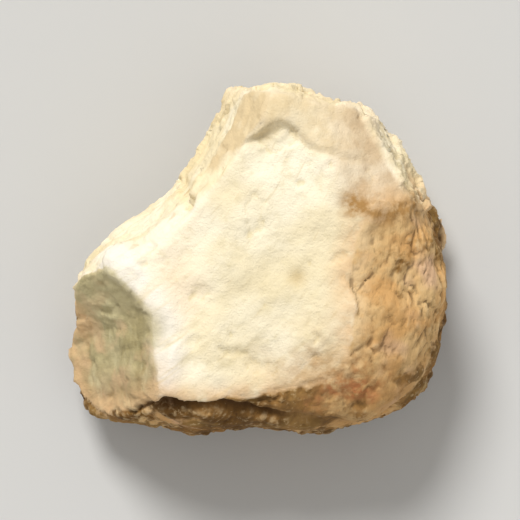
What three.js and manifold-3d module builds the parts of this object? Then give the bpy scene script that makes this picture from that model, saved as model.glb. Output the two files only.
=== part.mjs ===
// Wild yam root: one chopped, dried chunk of the rhizome, lying on its flattest cut.
//
// A wild yam rhizome is a knobbly, bark-skinned stem that grows along under the ground. It is sliced,
// dried hard and chopped, so a chunk is mostly flat blade cuts and split faces through pale, starchy
// flesh, with the curved bark left on the sides that were the outside of the rhizome.
//
// Units are millimetres. +Z is up from the surface the chunk lies on, +X runs along its longest side,
// and the origin is on that surface, under the middle of the chunk.

import * as THREE from 'three';
import { mergeVertices } from 'three/addons/utils/BufferGeometryUtils.js';
import Module from 'manifold-3d';

// ---- Driving dimensions -------------------------------------------------------------------------

const LENGTH = 13.4;                // along X
const DEPTH = 12.15;                // along Y
const HEIGHT = 8.1;                 // along Z

// The rhizome before it was chopped, as a rounded, slightly boxy knob about its own middle. It runs
// on towards +Y, where the rest of the rhizome was cut off.
const MIDDLE_HEIGHT = 3.3;
const HALF_WIDTH = 6.6;
const REACH = { back: 12, front: 6.05, up: 4.5, down: 3.75 };
const SQUARENESS = 3;               // 2 is an ellipsoid, higher is boxier
const FACETS_PER_EDGE = 13;

// Knobs (by > 0) and hollows (by < 0) of the growing rhizome: how far each pushes the bark out or in,
// as a share of the knob's own radius there, and how wide it is, as an angle in radians.
const SWELLINGS = [
  { towards: [-0.79, -0.61, -0.10], by: 0.15, spread: 0.30 },
  { towards: [0.80, -0.60, -0.12], by: 0.02, spread: 0.30 },
  { towards: [0.90, 0.44, 0.10], by: -0.20, spread: 0.30 },
  { towards: [0.05, 0.62, 0.78], by: 0.24, spread: 0.50 },
  { towards: [0.45, 0.50, 0.74], by: 0.10, spread: 0.26 },
  { towards: [-0.75, 0.20, 0.63], by: 0.10, spread: 0.40 },
  { towards: [0.72, -0.28, 0.62], by: -0.05, spread: 0.30 },
  { towards: [0.20, -0.80, 0.55], by: -0.03, spread: 0.28 },
  { towards: [0.55, -0.75, 0.36], by: 0.03, spread: 0.18 },
  { towards: [0.97, -0.10, 0.25], by: 0.02, spread: 0.16 },
  { towards: [0.45, -0.75, -0.50], by: 0.05, spread: 0.26 },
  { towards: [0.75, 0.10, -0.60], by: 0.06, spread: 0.30 },
  { towards: [0.85, -0.35, -0.38], by: -0.05, spread: 0.16 },
  { towards: [-0.30, -0.80, -0.50], by: -0.06, spread: 0.28 },
  { towards: [-0.10, -0.95, 0.10], by: -0.02, spread: 0.18 },
  { towards: [-0.90, -0.20, -0.40], by: -0.05, spread: 0.35 },
];

// Blade cuts and splits. Each is one or more flat faces, given as a point on the face and the
// direction it looks in. What lies in front of all the faces of one cut is gone.
const CUTS = {
  resting_face: [
    { at: [0, 0, 0], looks: [0, 0, -1] },
  ],
  collar: [
    { at: [1.0, 4.7, 8.25], looks: [0.04, 0.20, 1] },
  ],
  broad_top: [
    { at: [0, 0, 7.45], looks: [-0.05, -0.11, 1] },
    { at: [-1.09, 4.05, 7.9], looks: [0.33, -0.75, 0.57] },
    { at: [2.9, 3.95, 7.9], looks: [-0.34, -0.75, 0.57] },
  ],
  back_end: [
    { at: [0.3, 6.07, 6], looks: [-0.03, 1, 0.01] },
  ],
  back_right_corner: [
    { at: [2.47, 5.48, 6], looks: [0.39, 0.92, 0.03] },
    { at: [2.47, 5.48, 6], looks: [0.12, 0.99, 0.03] },
  ],
  right_wall: [
    { at: [4.90, 3.63, 2.6], looks: [0.87, 0.46, 0.13] },
    { at: [4.6, 2.15, 5], looks: [0.16, 0.98, 0.06] },
  ],
  right_shoulder: [
    { at: [3.1, 2.9, 7.75], looks: [0.40, 0.22, 0.89] },
    { at: [4.6, 2.15, 5], looks: [0.16, 0.98, 0.06] },
  ],
  right_foot: [
    { at: [5.9, 1.8, 1.7], looks: [0.58, 0.52, -0.62] },
  ],
  back_left_foot: [
    { at: [-3.0, 3.0, 2.3], looks: [-0.52, 0.42, -0.74] },
  ],
  back_left_splinter: [
    { at: [-2.0, 4.0, 4.9], looks: [-0.93, 0.33, 0.13] },
    { at: [-2.5, 2.5, 4.6], looks: [-0.25, 0.95, 0.18] },
  ],
  back_foot: [
    { at: [1.5, 6.0, 1.7], looks: [0.16, 0.80, -0.58] },
  ],
  left_end: [
    { at: [-6.36, -0.90, 3], looks: [-0.94, 0.34, 0.02] },
  ],
  left_split: [
    { at: [-5.83, 0.20, 7.1], looks: [-0.60, -0.645, 0.476] },
    { at: [-3.75, -1.93, 7.0], looks: [-0.85, -0.12, 0.51] },
  ],
};

// The hollow split along the back left side: two wide cones on one axis, bigger at the top, that only
// graze it. One leaves the steep wall, and the other the bevel where the top edge crumbled away.
const SCOOP_AXIS = [-11.9, 9.75];
const BACK_LEFT_SCOOPS = {
  wall: { radius: 11.1, at_height: 0.6, lean: 0.14 },
  bevel: { radius: 11.95, at_height: 6.85, lean: 0.72 },
};

const BIG = 60;                     // larger than the whole chunk, for the solids that cut it

// ---- Solids -------------------------------------------------------------------------------------

const wasm = await Module();
wasm.setup();

function toSolid(geometry) {
  const bare = geometry.clone();
  bare.deleteAttribute('normal');
  bare.deleteAttribute('uv');
  const merged = mergeVertices(bare, 1e-4);
  return new wasm.Manifold(new wasm.Mesh({
    numProp: 3,
    vertProperties: new Float32Array(merged.attributes.position.array),
    triVerts: new Uint32Array(merged.index.array),
  }));
}

function toGeometry(solid) {
  const mesh = solid.getMesh();
  const geometry = new THREE.BufferGeometry();
  geometry.setAttribute('position', new THREE.BufferAttribute(mesh.vertProperties, mesh.numProp));
  geometry.setIndex(new THREE.BufferAttribute(mesh.triVerts, 1));
  return geometry;
}

// How far the bark lies from the rhizome's middle in one direction.
function barkRadius(direction) {
  const sideways = Math.abs(direction.x) / HALF_WIDTH;
  const along = Math.abs(direction.y) / (direction.y > 0 ? REACH.back : REACH.front);
  const upright = Math.abs(direction.z) / (direction.z > 0 ? REACH.up : REACH.down);
  const sum = sideways ** SQUARENESS + along ** SQUARENESS + upright ** SQUARENESS;
  let radius = sum ** (-1 / SQUARENESS);
  for (const { towards, by, spread } of SWELLINGS) {
    const angle = direction.angleTo(new THREE.Vector3(...towards));
    radius *= 1 + by * Math.exp(-((angle / spread) ** 2));
  }
  return radius;
}

function rhizome() {
  const geometry = new THREE.IcosahedronGeometry(1, FACETS_PER_EDGE - 1);
  const places = geometry.attributes.position;
  const place = new THREE.Vector3();
  for (let i = 0; i < places.count; i += 1) {
    place.fromBufferAttribute(places, i).normalize();
    place.multiplyScalar(barkRadius(place));
    places.setXYZ(i, place.x, place.y, place.z + MIDDLE_HEIGHT);
  }
  return toSolid(geometry);
}

// Everything in front of one flat face: a block whose near side lies on that face.
function inFrontOf({ at, looks }) {
  const outward = new THREE.Vector3(...looks).normalize();
  const block = new THREE.BoxGeometry(BIG, BIG, BIG);
  block.translate(0, 0, BIG / 2);
  block.applyQuaternion(new THREE.Quaternion().setFromUnitVectors(new THREE.Vector3(0, 0, 1), outward));
  block.translate(...at);
  return toSolid(block);
}

function cutAway(faces) {
  return faces.map(inFrontOf).reduce((gone, block) => gone.intersect(block));
}

function scoop({ radius, at_height, lean }) {
  const half = BIG / 5;
  const cone = new THREE.CylinderGeometry(radius + half * lean, radius - half * lean, 2 * half, 96);
  cone.rotateX(Math.PI / 2);
  cone.translate(SCOOP_AXIS[0], SCOOP_AXIS[1], at_height);
  return toSolid(cone);
}

// ---- The chunk ----------------------------------------------------------------------------------

function rootChunk() {
  let solid = rhizome();
  for (const faces of Object.values(CUTS)) {
    solid = solid.subtract(cutAway(faces));
  }
  for (const cone of Object.values(BACK_LEFT_SCOOPS)) {
    solid = solid.subtract(scoop(cone));
  }

  const geometry = toGeometry(solid);
  geometry.computeBoundingBox();
  const { min, max } = geometry.boundingBox;
  geometry.translate(-(min.x + max.x) / 2, -(min.y + max.y) / 2, -min.z);
  geometry.scale(LENGTH / (max.x - min.x), DEPTH / (max.y - min.y), HEIGHT / (max.z - min.z));
  geometry.computeVertexNormals();

  const dryFlesh = new THREE.MeshStandardMaterial({ color: '#e8dcbc', roughness: 0.9, metalness: 0 });
  const mesh = new THREE.Mesh(geometry, dryFlesh);
  mesh.name = 'root_chunk';
  return mesh;
}

const wildYamChunk = new THREE.Group();
wildYamChunk.add(rootChunk());

export default wildYamChunk;
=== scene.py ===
import math

import bpy
import numpy as np
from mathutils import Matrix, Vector, noise
from mathutils.bvhtree import BVHTree


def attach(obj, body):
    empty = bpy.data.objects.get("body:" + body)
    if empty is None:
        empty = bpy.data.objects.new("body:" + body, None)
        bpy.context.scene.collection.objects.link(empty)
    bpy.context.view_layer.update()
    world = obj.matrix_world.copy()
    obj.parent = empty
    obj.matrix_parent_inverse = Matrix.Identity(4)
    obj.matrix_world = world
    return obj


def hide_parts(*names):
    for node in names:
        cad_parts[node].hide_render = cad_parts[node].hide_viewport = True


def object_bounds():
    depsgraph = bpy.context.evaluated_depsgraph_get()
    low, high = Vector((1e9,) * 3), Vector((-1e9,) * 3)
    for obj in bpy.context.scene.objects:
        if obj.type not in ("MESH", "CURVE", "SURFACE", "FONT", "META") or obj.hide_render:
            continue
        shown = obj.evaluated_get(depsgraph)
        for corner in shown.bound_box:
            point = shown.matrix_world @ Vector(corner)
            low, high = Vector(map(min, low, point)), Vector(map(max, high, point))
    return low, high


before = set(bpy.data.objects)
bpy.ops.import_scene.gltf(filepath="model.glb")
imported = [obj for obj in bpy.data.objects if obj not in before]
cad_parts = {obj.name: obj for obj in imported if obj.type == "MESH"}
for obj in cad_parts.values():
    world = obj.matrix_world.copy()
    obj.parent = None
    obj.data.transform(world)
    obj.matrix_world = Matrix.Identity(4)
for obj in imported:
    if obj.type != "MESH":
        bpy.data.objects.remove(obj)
cad_low, cad_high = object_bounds()


# ---- The chunk, as it was chopped ---------------------------------------------------------------
# One piece of wild yam rhizome, dried hard and chopped with a blade. It starts as the plain solid of
# its cuts and its curved bark, and gets a skin of points fine enough to carve crumbs and wrinkles in.
# All carving is in millimetres, and the finished mesh is scaled to metres.

MM = 0.001
POINT_SPACING = 0.092
FLAT_AREA = 0.6         # a flat patch over this many square millimetres was cut or split, not grown
ON_THE_FLAT = 0.004     # how far from a flat patch's level a corner on it may lie
FACING_STEPS = 200      # facets of one patch look the same way to within one step in this many,
LEVEL_STEPS = 50        # and lie at the same level to within one step in this many to the millimetre


def plain_solid():
    """The corners and triangles of the chunk's solid, in millimetres."""
    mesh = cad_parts["root_chunk"].data
    mesh.calc_loop_triangles()
    corners = np.array([v.co for v in mesh.vertices]) / MM
    triangles = np.array([t.vertices for t in mesh.loop_triangles])
    corners, same = np.unique(np.round(corners, 4), axis=0, return_inverse=True)
    return corners, same.ravel()[triangles]


def cut_faces(corners, triangles):
    """True for each triangle that lies on one of the chunk's flat cuts, and False on the bark."""
    a, b, c = (corners[triangles[:, i]] for i in range(3))
    across = np.cross(b - a, c - a)
    area = np.linalg.norm(across, axis=1) / 2
    facing = across / np.maximum(2 * area, 1e-12)[:, None]
    offset = np.einsum("ij,ij->i", facing, a)
    planes = np.column_stack([facing * FACING_STEPS, offset * LEVEL_STEPS])
    names, patch = np.unique(np.round(planes).astype(int), axis=0, return_inverse=True)
    patch_area = np.bincount(patch.ravel(), weights=area, minlength=len(names))
    found = np.zeros(len(triangles), bool)
    for number in np.flatnonzero(patch_area > FLAT_AREA):
        member = np.flatnonzero(patch.ravel() == number)
        biggest = member[np.argmax(area[member])]
        height = (corners @ facing[biggest]) - offset[biggest]
        found |= (np.abs(height) < ON_THE_FLAT)[triangles].all(axis=1)
    return found


def biggest_patch(triangles, count):
    """True for each triangle in the largest connected patch of them."""
    patch = np.arange(count)
    changed = True
    while changed:
        before = patch.copy()
        lowest = patch[triangles].min(axis=1)
        np.minimum.at(patch, triangles.ravel(), np.repeat(lowest, 3))
        changed = (patch != before).any()
    names, of_each = np.unique(patch[triangles[:, 0]], return_inverse=True)
    return of_each.ravel() == np.argmax(np.bincount(of_each.ravel()))


def fine_skin(corners, triangles):
    """The same solid as an even mesh of small quads: its object, in millimetres."""
    mesh = bpy.data.meshes.new("root_chunk_skin")
    mesh.from_pydata(corners.tolist(), [], triangles.tolist())
    rough = bpy.data.objects.new("rough_chunk", mesh)
    bpy.context.scene.collection.objects.link(rough)
    even = rough.modifiers.new("even", "REMESH")
    even.mode = "VOXEL"
    even.voxel_size = POINT_SPACING
    dg = bpy.context.evaluated_depsgraph_get()
    skin = bpy.data.meshes.new_from_object(rough.evaluated_get(dg), depsgraph=dg)
    bpy.data.objects.remove(rough)
    piece = bpy.data.objects.new("dried_root_chunk", skin)
    bpy.context.scene.collection.objects.link(piece)
    return piece


def read_points(mesh):
    """Where each point of the mesh is."""
    flat = np.empty(len(mesh.vertices) * 3, np.float32)
    mesh.vertices.foreach_get("co", flat)
    return flat.reshape(-1, 3).astype(float)


def place_points(mesh, points):
    """Moves each point of the mesh to its new place."""
    mesh.vertices.foreach_set("co", points.astype(np.float32).ravel())
    mesh.update()


def outward(mesh):
    """Which way the surface looks at each point."""
    flat = np.empty(len(mesh.vertices) * 3, np.float32)
    mesh.vertex_normals.foreach_get("vector", flat)
    return flat.reshape(-1, 3).astype(float)


def neighbours(mesh):
    """The two points that each edge joins."""
    flat = np.empty(len(mesh.edges) * 2, np.int32)
    mesh.edges.foreach_get("vertices", flat)
    return flat.reshape(-1, 2)


def evened(values, links, rounds, share=0.5):
    """Each value moved towards the mean of its neighbours, so many times over."""
    one, other = links[:, 0], links[:, 1]
    count = len(values)
    around = np.bincount(links.ravel(), minlength=count)
    values = values.reshape(count, -1).astype(float)
    share = np.reshape(share, (-1, 1))
    for _ in range(rounds):
        columns = [
            np.bincount(one, v[other], count) + np.bincount(other, v[one], count)
            for v in values.T
        ]
        values = values + share * (np.stack(columns, axis=1) / around[:, None] - values)
    return values.squeeze()


def reach_of(points, corners, triangles):
    """How far each point is from the nearest of these triangles."""
    tree = BVHTree.FromPolygons(corners.tolist(), triangles.tolist())
    return np.array([tree.find_nearest(p)[3] for p in points.tolist()])


def ease(values, low, high):
    """0 below low, 1 above high, and a smooth step between them."""
    t = np.clip((values - low) / (high - low), 0, 1)
    return t * t * (3 - 2 * t)


def bell(values, middle, width):
    """1 at the middle, falling away on both sides."""
    return np.exp(-(((values - middle) / width) ** 2))


def mottle(points, size, seed, octaves=3):
    """Random values around 0 in soft blotches; size is one number, or three for streaks."""
    places = points / np.array(size) + 17.31 * seed
    return np.array([noise.fractal(p, 1.0, 2.0, octaves) for p in places.tolist()])


def bend(points, size, seed):
    """A smooth random push for each point, around 0 along each axis."""
    places = points / size + 11.7 * seed
    return np.array([noise.noise_vector(p) for p in places.tolist()])


noise.seed_set(21)      # bend() is shifted by a random amount, the same one every time
corners, triangles = plain_solid()
is_cut = cut_faces(corners, triangles)
is_cut[~is_cut] = ~biggest_patch(triangles[~is_cut], len(corners))
chunk = fine_skin(corners, triangles)
links = neighbours(chunk.data)
points = read_points(chunk.data)

# The bark grew round and smooth, so the solid's facets are evened out of it. The cuts keep their
# faces, and their edges are only worn a little.
from_cut = reach_of(points, corners, triangles[is_cut])
from_bark = reach_of(points, corners, triangles[~is_cut])
side = evened(from_bark - from_cut, links, 6)       # above 0 on the flesh, below 0 on the bark
points = evened(points, links, 3)
points = evened(points, links, 22, 0.5 * ease(-side, 0.0, 0.5))
place_points(chunk.data, points)
facing = outward(chunk.data)

# Nothing about it is straight: every face swells and every edge wanders a little.
points = points + 0.26 * bend(points, 3.3, 1) + 0.10 * bend(points, 1.2, 2)
place_points(chunk.data, points)
x, y, z = points.T
faces_up = facing[:, 2]

# ---- Bark: what is left of the rhizome's skin ---------------------------------------------------
# Thin brown cork over tan rind, on the right end, the front and underneath. It shrank in wrinkles as
# the root dried, and flaked off in places. It carries the scars and stubs of wiry rootlets.

# Each scar's middle and its radius, and how tall its broken stub stands in its ring.
ROOTLETS = [
    ((6.5, -1.9, 4.0), 0.50, 0.00),
    ((5.9, -4.6, 3.0), 0.55, 0.16),
    ((1.9, -6.1, 3.6), 0.55, 0.00),
    ((-2.3, -5.9, 2.4), 0.60, 0.22),
    ((6.2, 0.9, 1.9), 0.45, 0.00),
    ((4.0, -5.6, 1.3), 0.42, 0.00),
    ((-5.8, -4.9, 1.9), 0.45, 0.12),
    ((-4.4, -2.0, 0.8), 0.45, 0.14),
    ((2.2, -4.6, 0.5), 0.50, 0.00),
]



def away_from(points, place, reach=1.0):
    """How many times its reach each point is from a place, or from the upright line through it."""
    place = np.array(place)
    return np.linalg.norm((points[:, :len(place)] - place) / reach, axis=1)


steep = 1 - ease(np.abs(faces_up), 0.35, 0.85)
split = np.maximum(steep, ease(-faces_up, 0.3, 0.6) * ease(z, 0.1, 0.5))
wander = (0.30 + 0.25 * steep) * mottle(points, 1.9, 1) + 0.16 * mottle(points, 0.5, 2)
border = side + wander * bell(side, 0.0, 0.55 + 0.4 * steep)
border = border + 0.40 * ease(z, 6.0, 7.0) * ease(-y, 3.4, 4.4)
flesh = ease(border, -0.05, 0.07)
bark = 1 - flesh

# Folds run along the rhizome, and every few millimetres they give way to plainer bark.
winding = points + 0.55 * bend(points, 1.9, 3) + 0.22 * bend(points, 0.7, 4)
folds = 1 - np.abs(mottle(winding, (1.3, 2.8, 1.3), 3, 4)) / 0.5
wrinkles = 1 - np.abs(mottle(winding, (0.50, 0.95, 0.50), 4, 3)) / 0.5
patchy = ease(mottle(points, 2.3, 5), -0.25, 0.30)
knobs = mottle(points, (2.2, 2.7, 2.2), 6)
pits = ease(mottle(points, 0.62, 7, 2), 0.34, 0.58)

# The rind is laid bare where the bark was rubbed: near the cuts, and over most of the right end.
right_end = ease(x, 1.9, 3.3) * ease(z, 3.0, 6.0)
near_cut = ease(border, -1.6, -0.1)
near_front = ease(-y, 1.6, 3.2)
cork = 0.34 - right_end * (0.85 + 0.45 * near_cut - 0.15 * near_front) - 0.10 * near_cut
cork = cork + 1.1 * mottle(winding, 1.5, 8, 4)
cork_on = ease(cork, -0.04, 0.04)

bark_height = (
    0.15 * knobs
    - (0.05 + 0.10 * patchy) * np.maximum(folds, 0) ** 2
    - (0.02 + 0.05 * patchy) * np.maximum(wrinkles, 0) ** 2
    - (0.06 - 0.03 * right_end) * pits
    + 0.05 * cork_on
    + 0.03 * mottle(points, 0.30, 9)
)

ring = np.zeros(len(points))
pit = np.zeros(len(points))
stub = np.zeros(len(points))
ragged = 1 + 0.55 * mottle(points, 0.45, 10)
for middle, radius, tall in ROOTLETS:
    away = away_from(points, middle)
    away = np.sqrt(np.maximum(away ** 2 - away.min() ** 2, 0)) / radius
    away = away * ragged
    ring += bell(away, 0.85, 0.24)
    pit += bell(away, 0.0, 0.55) * (tall == 0)
    stub += (1 - ease(away, 0.35, 0.60)) * tall
bark_height += 0.10 * ring - 0.17 * pit + stub

# The right end grew flatter in its middle.
bark_height -= 0.26 * bell(away_from(points, (6.7, -1.6, 4.0)), 0.0, 2.4)

# Under the front edge of the broad top a crack runs along the bark, with a lip of cork below it.
CRACK_PLACE = (-5.22, -0.109, -0.0175)      # its y, as a curve over x
crack_y = sum(c * x ** power for power, c in enumerate(CRACK_PLACE))
from_crack = y - crack_y + 0.16 * mottle(points, 1.4, 11)
open_here = 0.30 + 0.70 * ease(x, -4.4, -3.2) * (1 - ease(x, -0.2, 1.4))
front_top = ease(z, 4.2, 5.2) * bark * open_here
crack = front_top * bell(from_crack, -0.05, 0.17)
crack_lip = front_top * bell(from_crack, -0.48, 0.22)
bark_height += 0.11 * crack_lip - 0.42 * crack

# ---- Flesh: the cut and split faces -------------------------------------------------------------
# Hard white starch. The broad faces were sliced, and are the smoothest. The steep ones split along
# the threads of fibre that run through the root, and broke in splinters and small ledges.

SCOOP_AXIS = np.array([-11.9, 9.75])        # the back left split curves round this upright line

# The fibres follow the curve of that split: each point's place across, along and up them.
spoke = points[:, :2] - SCOOP_AXIS
from_axis = np.linalg.norm(spoke, axis=1)
turn = np.arctan2(spoke[:, 1], spoke[:, 0])
fibres = np.column_stack([from_axis, turn * from_axis.mean(), z])
threads = mottle(fibres, (0.22, 3.2, 0.50), 12)


SHAPES = 4096           # how many different splinters there are


def splinters(points, size, seed):
    """Small tilted facets, each at its own depth, that break at the joints between them."""
    chips = np.random.default_rng(seed)
    tilts = chips.normal(size=(SHAPES, 3))
    depths = chips.random(SHAPES)
    heights = np.empty(len(points))
    places = points / np.array(size) + 5.3 * seed
    for i, p in enumerate(places.tolist()):
        middle = noise.voronoi(p)[1][0]
        chip = int(noise.cell(middle * 9.7) * (SHAPES / 2 - 0.1) + SHAPES / 2)
        heights[i] = depths[chip] + 0.45 * tilts[chip] @ (p - np.array(middle))
    return heights


break_places = fibres + 0.30 * bend(points, 1.1, 5)
big_splinters = splinters(break_places, (0.55, 3.6, 1.5), 6)
small_splinters = splinters(break_places, (0.28, 1.5, 0.45), 7)
rock = mottle(points, 1.5, 14, 6)
torn = ease(mottle(points, 1.0, 15, 3), 0.42, 0.62)
crumbs = mottle(points, 0.26, 16, 3)

# The break at the lower left is an old one, and its splinters have worn down.
break_looks = np.array([-0.80, -0.42, 0.43])
weathered = flesh * ease(facing @ break_looks, 0.70, 0.92) * ease(-x, 2.7, 3.6)
fresh = split * (1 - 0.65 * weathered)

flesh_height = (
    0.075 * rock
    - 0.08 * torn
    + 0.020 * crumbs
    + (0.012 + 0.045 * fresh) * threads
    - (0.010 + 0.16 * fresh) * (big_splinters - 0.5)
    - (0.004 + 0.06 * fresh) * (small_splinters - 0.5)
)

# The back end broke off in a collar that stands a little above the sliced top, along this line.
COLLAR_LINE = [(-1.5, 3.3), (-1.1, 3.85), (0.1, 4.45), (1.0, 4.7), (1.7, 4.1), (2.5, 3.75), (3.6, 3.6)]
along_x, along_y = np.array(COLLAR_LINE).T
past_collar = y - np.interp(x, along_x, along_y)
past_collar = past_collar + 0.12 * mottle(points, 0.8, 17)
top_face = ease(faces_up, 0.55, 0.8) * ease(z, 5.5, 6.5) * flesh
collar_x = ease(x, -1.7, -1.0) * (1 - ease(x, 3.0, 3.8))
collar = top_face * collar_x * ease(past_collar, -0.10, 0.12)
collar_groove = top_face * collar_x * bell(past_collar, -0.14, 0.13)
flesh_height += 0.08 * collar - 0.055 * collar_groove

# The broad top is dished in the middle, and its left edge stands up in a blunt ridge, painted white
# as a highlight.
LEFT_RIDGE = [(-5.9, 0.55), (-4.5, -0.40), (-3.45, -1.7), (-3.20, -2.8), (-3.35, -4.4)]


def from_line(points, line):
    """How far each point is, seen from above, from a line of straight stretches."""
    nearest = np.full(len(points), np.inf)
    for one, other in zip(np.array(line[:-1]), np.array(line[1:])):
        run = other - one
        share = np.clip((points[:, :2] - one) @ run / (run @ run), 0, 1)
        gap = points[:, :2] - one - share[:, None] * run
        nearest = np.minimum(nearest, np.linalg.norm(gap, axis=1))
    return nearest


dish = top_face * bell(away_from(points, (-0.1, -0.9), (2.3, 2.6)), 0.0, 1.0)
on_ridge = from_line(points, LEFT_RIDGE) + 0.20 * mottle(points, 1.1, 20)
ridge = flesh * ease(z, 3.9, 5.3) * bell(on_ridge, 0.10, 0.42)
flesh_height += 0.11 * ridge - 0.13 * dish

# Where the left end meets the back split a blunt spur stands out. The left end and the right wall
# swell a little.
SPUR = (-5.1, 0.9)
LEFT_SWELLING = (-6.6, -3.9, 3.2)
WALL_SWELLING = (4.6, 3.9)
flesh_height += split * (
    0.05
    + 0.26 * bell(away_from(points, SPUR), 0.0, 1.2)
    + 0.12 * bell(away_from(points, LEFT_SWELLING), 0.0, 1.9)
    + 0.20 * bell(away_from(points, WALL_SWELLING), 0.0, 1.5)
)

# A little knot in the broad top face, sunk where a bundle of fibres pulled out.
KNOT = (1.28, -0.63)
knot = top_face * bell(away_from(points, KNOT), 0.0, 0.30)
flesh_height -= 0.10 * knot

# ---- Carving ------------------------------------------------------------------------------------
# The heights of bark and flesh go on, and the edges and corners chip and wear off, as they do where
# chopped roots rub together. The underside keeps to the resting plane.

OVER = 0.02             # how far the finish may stand outside the plain solid, as a share of its size
height = flesh * flesh_height + bark * bark_height
sharp = np.einsum("ij,ij->i", points - evened(points, links, 30), facing)
# The same measure of worn edges later paints them whiter, as a painted highlight.
wear_and_highlight = ease(sharp, 0.03, 0.17)
chipped = ease(mottle(points, 0.8, 18), -0.15, 0.45)
height = np.where(height > 0, height * (1 - wear_and_highlight), height)
height -= wear_and_highlight * (0.05 + (0.06 + 0.14 * flesh) * chipped)
underneath = ease(-faces_up, 0.8, 0.97) * (1 - ease(z, 0.2, 0.6))
height -= 0.05 * underneath

carved = points + outward(chunk.data) * height[:, None]
low, high = np.array(cad_low) / MM, np.array(cad_high) / MM
spare = OVER * (high - low)
beyond = np.maximum(carved - high, 0) - np.maximum(low - carved, 0)
carved = carved - beyond + spare * np.tanh(beyond / spare)
carved[:, 2] = np.maximum(carved[:, 2], 0.0)
place_points(chunk.data, carved)

finished_facing = outward(chunk.data)
hollow = np.einsum("ij,ij->i", evened(carved, links, 5) - carved, finished_facing)
dip_shade = np.einsum("ij,ij->i", evened(carved, links, 40) - carved, finished_facing)

# The old break is olive-grey: partly its own grey with age, and partly painted shade, as it is turned
# from the light. The grey creeps over the ridge beside it, and the painted shade is darkest in the bite.
# Painted highlight: the left ridge and the bevel turned towards the light are painted whiter.
bevel_looks = np.array([-0.62, 0.50, 0.60])
bevel = flesh * ease(facing @ bevel_looks, 0.80, 0.93)
painted_highlight = np.clip(ridge + 0.50 * bevel * (1 - ease(y, 1.4, 2.8)), 0, 1)
old_break_and_shade = weathered * (1 - 0.70 * bell(on_ridge, 0.0, 0.36))
# Painted shade in the corner of the bite beside the ridge.
from_bite = away_from(points, (-3.75, -2.45), (0.50, 0.75))
old_break_and_shade = np.maximum(old_break_and_shade, 0.75 * flesh * bell(from_bite, 0.0, 1.0))
# Painted shade, darkest at this spot in the corner of the break.
from_darkest = away_from(points, (-4.15, -2.2), (0.55, 0.95))
painted_corner_shade = bell(from_darkest + 0.4 * mottle(points, 0.8, 22), 0.0, 1.0)

# Rusty stains at the front right corner with brown around it, and a brown band painted along the notch.
RUSTY_CORNER = (3.1, -4.5, 6.5)
SMUDGE = (4.4, -2.8, 7.0)
NOTCH = [(3.2, 2.05), (4.1, 1.55), (5.4, 1.75)]
from_corner = away_from(points, RUSTY_CORNER, (1.6, 1.15, 1.4)) + 0.55 * mottle(points, 0.8, 19, 4)
rust = bell(from_corner, 0.0, 0.55)
in_notch = 1.15 * bell(from_line(points, NOTCH) + 0.25 * mottle(points, 0.7, 21), 0.0, 0.48)
brown = np.maximum(bell(from_corner, 0.0, 1.50), in_notch * ease(z, 5.0, 6.2))
brown = np.maximum(brown, 0.55 * bell(away_from(points, SMUDGE), 0.0, 0.9))
shoulder = top_face * ease(x, 2.2, 3.5) * ease(y, 1.4, 2.4)
high = flesh * ease(faces_up, 0.25, 0.5) * ease(z, 5.0, 6.0)
broken_end = np.maximum(collar, high * ease(past_collar, -0.5, 0.1) * (1 + 0.6 * bevel))
front_edge = top_face * ease(-y, 2.2, 4.4)

for name, values in (
    ("flesh", flesh),
    ("border", border),
    ("hollow", hollow),
    ("dip_shade", dip_shade),
    ("wear_and_highlight", wear_and_highlight),
    ("split", split),
    ("cork", cork),
    ("knot", np.clip(knot, 0, 1)),
    ("scar_and_pit_shade", np.clip(pit + 0.5 * ring, 0, 1) * bark),
    ("stub", np.clip(stub * 5, 0, 1) * bark),
    ("crack", crack),
    ("old_break_and_shade", old_break_and_shade),
    ("painted_corner_shade", painted_corner_shade),
    ("rust", rust),
    ("brown", brown),
    ("dish", dish),
    ("shoulder", shoulder),
    ("painted_highlight", painted_highlight),
    ("broken_end", broken_end),
    ("front_edge", front_edge),
):
    made = chunk.data.attributes.new(name, "FLOAT", "POINT")
    made.data.foreach_set("value", values.astype(np.float32))

made = chunk.data.attributes.new("fibres", "FLOAT_VECTOR", "POINT")
made.data.foreach_set("vector", fibres.astype(np.float32).ravel())

place_points(chunk.data, carved * MM)
chunk.data.shade_smooth()

# ---- The finish: dry starch and dry cork --------------------------------------------------------
# Both are quite matt. The starch is ivory, browner beside the bark, with painted shade in its dips and
# painted highlights on its edges; the rind is tan with brown flecks, and the cork over it is dark brown,
# paler where it is rubbed, with painted shade in its creases.


class Wire:
    """One output of a node. Sums on wires add Math nodes, and new() adds any other node."""

    def __init__(self, tree, socket=None):
        self.tree = tree
        self.socket = socket

    def new(self, kind, settings=None, sockets=None, out=0):
        node = self.tree.nodes.new("ShaderNode" + kind)
        for name, value in (settings or {}).items():
            setattr(node, name, value)
        for place, value in (sockets or {}).items():
            if isinstance(value, Wire):
                self.tree.links.new(value.socket, node.inputs[place])
            else:
                node.inputs[place].default_value = value
        return Wire(self.tree, node.outputs[out] if node.outputs else None)

    def math(self, operation, first, second):
        return self.new("Math", {"operation": operation}, {0: first, 1: second})

    def __add__(self, other):
        return self.math("ADD", self, other)

    def __radd__(self, other):
        return self.math("ADD", other, self)

    def __sub__(self, other):
        return self.math("SUBTRACT", self, other)

    def __rsub__(self, other):
        return self.math("SUBTRACT", other, self)

    def __mul__(self, other):
        return self.math("MULTIPLY", self, other)

    def __rmul__(self, other):
        return self.math("MULTIPLY", other, self)

    def between(self, low, high):
        """0 at low, 1 at high."""
        settings = {"interpolation_type": "SMOOTHSTEP"}
        return self.new("MapRange", settings, {"Value": self, "From Min": low, "From Max": high})

    def blend(self, first, second):
        """The first colour where this is 0, the second where it is 1."""
        return self.new("Mix", {"data_type": "RGBA"}, {0: self, 6: first, 7: second}, out=2)


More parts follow.
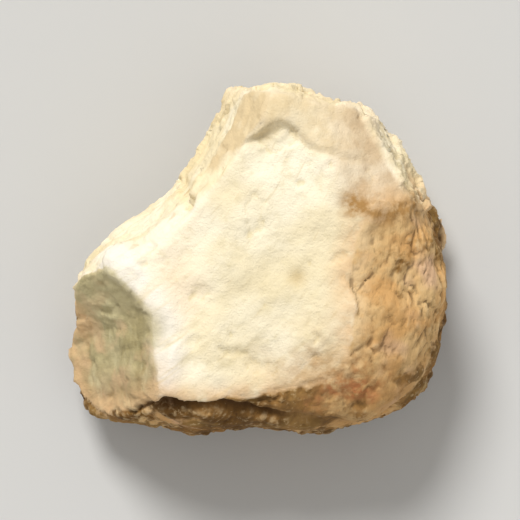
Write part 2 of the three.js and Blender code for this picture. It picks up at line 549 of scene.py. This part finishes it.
def shade(code):
    """A hex colour as the light it reflects."""
    parts = [int(code[i:i + 2], 16) / 255 for i in (0, 2, 4)]
    return [p / 12.92 if p <= 0.04045 else ((p + 0.055) / 1.055) ** 2.4 for p in parts] + [1.0]


finish = bpy.data.materials.new("dry_root")
finish.use_nodes = True
finish.node_tree.nodes.clear()
start = Wire(finish.node_tree)


def held(name):
    """A value carved into the mesh with its shape."""
    return start.new("Attribute", {"attribute_name": name}, out="Fac")


place = start.new("TexCoord", out="Object")
place = start.new("VectorMath", {"operation": "SCALE"}, {0: place, "Scale": 1 / MM})
fibre_place = start.new("Attribute", {"attribute_name": "fibres"}, out="Vector")


def grain(size, detail=3.0, rough=0.55, stretch=(1.0, 1.0, 1.0), where=place):
    """Fine random values from 0 to 1, in specks about this many millimetres across."""
    where = start.new("VectorMath", {"operation": "MULTIPLY"}, {0: where, 1: stretch})
    return start.new(
        "TexNoise", {}, {"Vector": where, "Scale": 1 / size, "Detail": detail, "Roughness": rough}
    )


ALONG_FIBRES = (1.0, 0.09, 0.5)

IVORY = shade("faf0d6")
CREAM = shade("efe0bc")
PINK_CREAM = shade("f6e0c4")
HIGHLIGHT_WHITE = shade("f5f0e8")
DARKER_CREAM = shade("d9c99f")
SPLIT_CREAM = shade("ecd6a6")
COLLAR_TAN = shade("d9c298")
FIBRE = shade("c3a873")
RIND_TINGE = shade("dfb888")
BLOTCH_BROWN = shade("a8804c")
SHOULDER_TAN = shade("caaf8b")
OLD_GREY = shade("b1a477")
DARK_OLIVE = shade("8d7f50")
OLD_TAN = shade("cbab80")
OLD_PALE = shade("d0c598")
OLD_RIM = shade("b08d63")

starch = grain(2.9, 2.0).between(0.36, 0.64).blend(IVORY, CREAM)
starch = (grain(4.3, 1.0).between(0.48, 0.66) * 0.60).blend(starch, PINK_CREAM)
starch = (grain(0.50, 4.0, 0.6).between(0.50, 0.74) * 0.40).blend(starch, DARKER_CREAM)
streaks = grain(0.30, 3.0, 0.6, ALONG_FIBRES, fibre_place).between(0.50, 0.70)
starch = (held("split") * (0.25 + 0.45 * grain(1.6, 3.0).between(0.40, 0.62))).blend(starch, SPLIT_CREAM)
starch = (streaks * (0.20 + 0.45 * held("split"))).blend(starch, DARKER_CREAM)
threads_seen = grain(0.15, 1.0, 0.5, ALONG_FIBRES, fibre_place).between(0.66, 0.76)
starch = (threads_seen * (0.20 + 0.40 * held("split"))).blend(starch, FIBRE)
# Painted shade: the dips and hollows are painted a darker cream. The dished middle of the broad top is
# painted a little darker too.
starch = (held("dip_shade").between(0.02, 0.22) * 0.50).blend(starch, DARKER_CREAM)
starch = (held("dish") * 0.40).blend(starch, DARKER_CREAM)
starch = (held("hollow").between(0.004, 0.035) * 0.45).blend(starch, DARKER_CREAM)
starch = (held("front_edge") * (0.08 + 0.5 * streaks)).blend(starch, DARKER_CREAM)
tan = 0.45 + 0.45 * grain(0.7, 4.0, 0.6).between(0.30, 0.72)
starch = (held("broken_end") * tan).blend(starch, COLLAR_TAN)
starch = (held("shoulder") * tan).blend(starch, SHOULDER_TAN)
# Painted highlight: the worn edges are painted whiter.
starch = (held("wear_and_highlight") * 0.40).blend(starch, HIGHLIGHT_WHITE)
# Painted highlight along the left ridge and the bevel.
starch = (held("painted_highlight") * (0.60 - 0.40 * streaks)).blend(starch, HIGHLIGHT_WHITE)
old_mottle = grain(0.8, 3.0, 0.6, (1.0, 0.45, 0.6))
old_colour = old_mottle.between(0.40, 0.72).blend(OLD_GREY, DARK_OLIVE)
old_colour = grain(1.3, 2.0).between(0.50, 0.68).blend(old_colour, OLD_TAN)
from_back = start.new("SeparateXYZ", {}, {0: place}, out="Y")
old_colour = (from_back.between(-3.4, -1.0) * 0.50).blend(old_colour, OLD_PALE)
old_colour = ((0 - from_back).between(3.4, 4.9) * 0.60).blend(old_colour, OLD_RIM)
pale_runs = grain(0.55, 3.0, 0.6, (1.0, 0.35, 0.5)).between(0.50, 0.66)
old_colour = (pale_runs * 0.55).blend(old_colour, OLD_PALE)
# Painted shade, darkest in the corner of the break.
old_colour = (held("painted_corner_shade") * 0.65).blend(old_colour, DARK_OLIVE)
# The old break's grey: partly its own colour, partly painted shade.
starch = (held("old_break_and_shade") * (0.80 + 0.15 * old_mottle)).blend(starch, old_colour)
tinge = (1 - held("border").between(0.0, 1.25)) * grain(0.6, 3.0).between(0.15, 0.60)
starch = (tinge * 0.80).blend(starch, RIND_TINGE)
starch = (held("knot") * 0.55).blend(starch, FIBRE)

RIND = shade("dab57e")
RIND_ORANGE = shade("d0a166")
RIND_PINK = shade("dcb594")
RIND_FLECK = shade("8f6c3a")
RIND_PALE = shade("e6cba0")
CORK = shade("936a34")
CORK_DARK = shade("64451b")
CORK_GREY = shade("9a7840")
CREASE_SHADE = shade("4a2f16")
RUBBED = shade("e2c596")
RUST = shade("b56b42")

rind = grain(1.3, 3.0).between(0.40, 0.62).blend(RIND, RIND_ORANGE)
rind = (grain(2.1, 2.0).between(0.50, 0.66) * 0.7).blend(rind, RIND_PINK)
rind = (grain(0.42, 4.0, 0.65).between(0.54, 0.68) * 0.50).blend(rind, RIND_FLECK)
skin = grain(0.9, 4.0, 0.6).between(0.42, 0.62).blend(CORK, CORK_DARK)
skin = (grain(1.7, 3.0).between(0.54, 0.68) * 0.7).blend(skin, CORK_GREY)
skin = (grain(0.22, 3.0).between(0.60, 0.72) * 0.5).blend(skin, RUBBED)
skin_on = (held("cork") + (grain(0.26, 3.0) - 0.5) * 0.8).between(-0.22, 0.18)
near_flesh = held("border").between(-0.9, 0.0) * grain(0.5, 3.0).between(0.2, 0.6)
rind = (near_flesh * 0.65).blend(rind, RIND_PALE)
outside = skin_on.blend(rind, skin)
# Painted shade: the bark's creases are painted dark brown.
outside = (held("hollow").between(0.0, 0.035) * 0.50).blend(outside, CREASE_SHADE)
rubbed = (0 - held("hollow")).between(0.006, 0.03) * grain(0.25, 2.0).between(0.38, 0.6)
outside = (rubbed * 0.40).blend(outside, RUBBED)
# The rootlet scars are painted dark: painted shade in their pits, and their own darker colour on their
# rings.
outside = (held("scar_and_pit_shade") * 0.70).blend(outside, CREASE_SHADE)
outside = (held("stub") * 0.20).blend(outside, RUBBED)
# Painted shade: the crack is painted nearly black-brown.
outside = (held("crack") * 0.90).blend(outside, CREASE_SHADE)

colour = held("flesh").blend(outside, starch)
blots = grain(0.38, 4.0, 0.6).between(0.34, 0.62)
colour = (held("brown") * (0.35 + 0.60 * blots)).blend(colour, BLOTCH_BROWN)
colour = (held("rust") * blots * 0.75).blend(colour, RUST)

flesh_relief = grain(0.20, 5.0, 0.65) + 0.5 * grain(0.07, 2.0)
bark_relief = grain(0.18, 4.0, 0.7, (1.0, 0.5, 1.0)) * 1.6
relief = flesh_relief * held("flesh") + bark_relief * (1 - held("flesh"))
bump = start.new("Bump", {}, {"Height": relief, "Strength": 1.0, "Distance": 0.045 * MM})
dryness = 0.84 + 0.08 * held("flesh")

surface = start.new(
    "BsdfPrincipled",
    {},
    {"Base Color": colour, "Roughness": dryness, "Specular IOR Level": 0.25, "Normal": bump},
)
start.new("OutputMaterial", {}, {"Surface": surface})
chunk.data.materials.clear()
chunk.data.materials.append(finish)

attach(chunk, "root")
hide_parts("root_chunk")

# ---- Floor --------------------------------------------------------------------------------------
# A plain pale card with the chunk lying on it. It is so much wider than the chunk that its own edge
# is never seen.

FLOOR_HALF = 2.0
card = bpy.data.meshes.new("floor")
card.from_pydata(
    [(x * FLOOR_HALF, y * FLOOR_HALF, 0) for x, y in ((-1, -1), (1, -1), (1, 1), (-1, 1))],
    [],
    [(0, 1, 2, 3)],
)
floor = bpy.data.objects.new("floor", card)
bpy.context.scene.collection.objects.link(floor)
card_finish = bpy.data.materials.new("pale_card")
card_finish.use_nodes = True
card_surface = card_finish.node_tree.nodes["Principled BSDF"]
card_surface.inputs["Base Color"].default_value = shade("c4c3c0")
card_surface.inputs["Roughness"].default_value = 0.9
card.materials.append(card_finish)

# ---- Light --------------------------------------------------------------------------------------
# One broad soft lamp, high over the back and a little to the left, and a weak one across from it.
# The surround is pale too, and palest at the horizon.


def lamp(name, aim, strength, spread):
    """A soft lamp that shines along aim."""
    light = bpy.data.lights.new(name, "SUN")
    light.energy = strength
    light.angle = math.radians(spread)
    holder = bpy.data.objects.new(name, light)
    holder.rotation_mode = "QUATERNION"
    holder.rotation_quaternion = Vector(aim).to_track_quat("-Z", "Y")
    bpy.context.scene.collection.objects.link(holder)


lamp("key_light", (0.22, -0.61, -0.76), 2.75, 20)
lamp("fill_light", (-0.5, 0.5, -1.0), 0.35, 60)

AT_HORIZON = shade("d6d5d2")      # as pale as the lit card, so that the card has no visible end
OVERHEAD = shade("b4b3b1")
surround = bpy.data.worlds.new("surround")
surround.use_nodes = True
surround.node_tree.nodes.clear()
sky = Wire(surround.node_tree)
towards = sky.new("TexCoord", out="Generated")
up = sky.new("SeparateXYZ", {}, {0: towards}, out="Z")
glow = sky.new("Background", {}, {"Color": up.between(0.02, 0.45).blend(AT_HORIZON, OVERHEAD)})
sky.new("OutputWorld", {}, {"Surface": glow})
bpy.context.scene.world = surround
bpy.context.scene.view_settings.view_transform = "Standard"

# ---- Camera -------------------------------------------------------------------------------------
# Straight above the chunk and looking down on it, with the chunk's back edge at the top of the view.
# It stands far off, behind a long lens.

LENS = 600.0            # so long that the chunk's sides barely draw together
FILL = 0.74             # share of the view's width that the chunk takes
eye = bpy.data.cameras.new("camera")
eye.lens = LENS
length = cad_high.x - cad_low.x
distance = length / FILL * LENS / eye.sensor_width
viewer = bpy.data.objects.new("camera", eye)
viewer.location = (0, 0, cad_high.z + distance)
eye.clip_start = distance * 0.1
eye.clip_end = distance * 10
bpy.context.scene.collection.objects.link(viewer)
bpy.context.scene.camera = viewer

bpy.context.view_layer.update()
